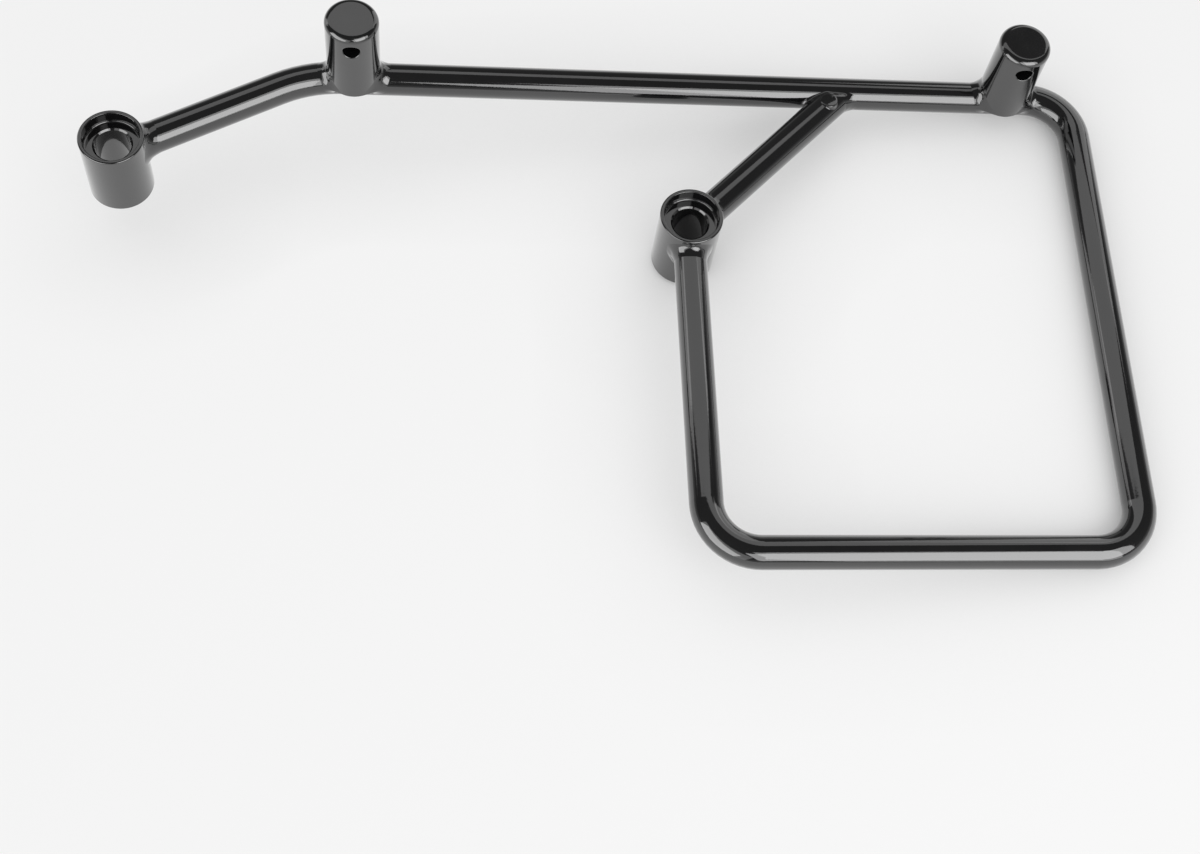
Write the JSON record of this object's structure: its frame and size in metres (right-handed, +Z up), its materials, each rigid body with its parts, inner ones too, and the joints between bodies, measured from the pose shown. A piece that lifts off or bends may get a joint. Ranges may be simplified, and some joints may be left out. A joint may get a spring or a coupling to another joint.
{
  "type": "pannier frame",
  "caption": "Gloss-black welded bar frame that carries a motorcycle saddlebag: rail with a bent arm, hoop, brace, counterbored mounting bosses and drilled pegs.",
  "frame": {"origin": "on the ground, under the middle of the box of the frame as it lies", "axes": "+X along the rail towards the hoop, +Y away from the hoop's far end, across the rail, +Z up from the ground; the frame leans 5.48 degrees about Y, down towards +X, as it comes to rest"},
  "size_m": [0.3984, 0.2177, 0.0717],
  "materials": {
    "coated_steel": "gloss black coat on round steel bar",
    "coated_weld": "gloss black coat over a rippled weld bead"
  },
  "bodies": {
    "root": {"main_bar": "coated_steel", "brace_bar": "coated_steel", "front_boss": "coated_steel", "centre_boss": "coated_steel", "front_peg": "coated_steel", "rear_peg": "coated_steel", "arm_weld": "coated_weld", "hoop_weld": "coated_weld", "brace_boss_weld": "coated_weld", "brace_rail_weld": "coated_weld", "front_peg_weld": "coated_weld", "rear_peg_weld": "coated_weld"}
  },
  "joints": []
}
